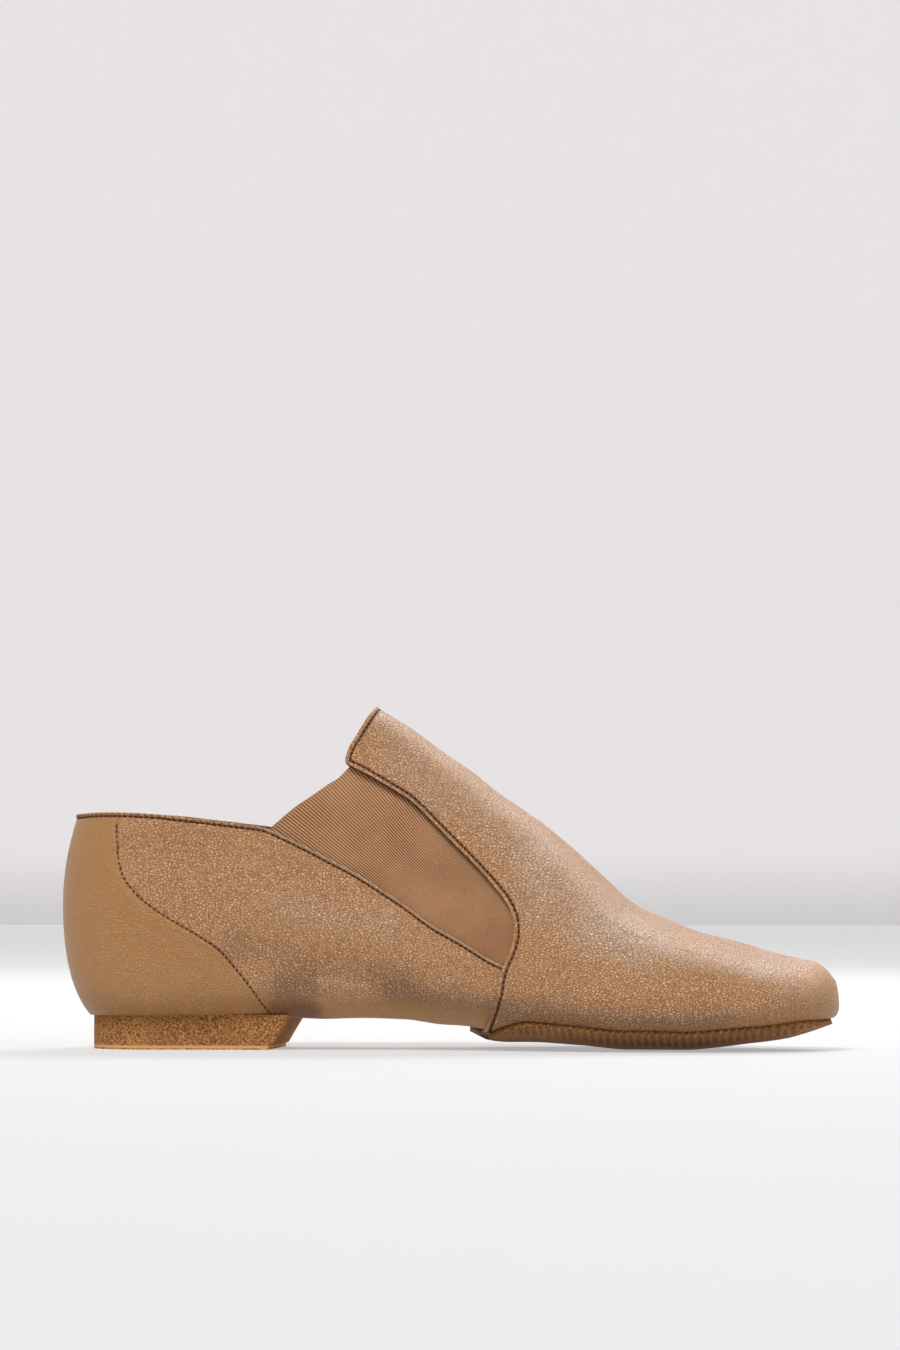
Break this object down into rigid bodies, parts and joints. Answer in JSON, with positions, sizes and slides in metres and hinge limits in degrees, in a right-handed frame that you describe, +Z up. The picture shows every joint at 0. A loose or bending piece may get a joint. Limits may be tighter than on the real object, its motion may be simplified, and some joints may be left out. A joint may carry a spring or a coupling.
{
  "type": "jazz shoe",
  "caption": "Left slip-on jazz shoe with elastic side gores, a gathered forefoot pad and a low block heel, for dance.",
  "frame": {"origin": "middle of the shoe's box in plan, on the floor", "axes": "+X towards the toe, +Y towards the outer side of the foot, +Z up"},
  "size_m": [0.2448, 0.0868, 0.1073],
  "materials": {
    "upper_leather": "fine pebbled grain, soft sheen",
    "elastic": "ribbed elastic webbing",
    "insole": "matt",
    "sole_leather": "dark brown, gathered at the rim",
    "heel": "matt granular",
    "top_lift": "matt"
  },
  "bodies": {
    "root": {"upper": "upper_leather", "gore_medial": "elastic", "gore_lateral": "elastic", "insole": "insole", "outsole_forepart": "sole_leather", "heel_block": "heel", "heel_lift": "top_lift"}
  },
  "joints": []
}
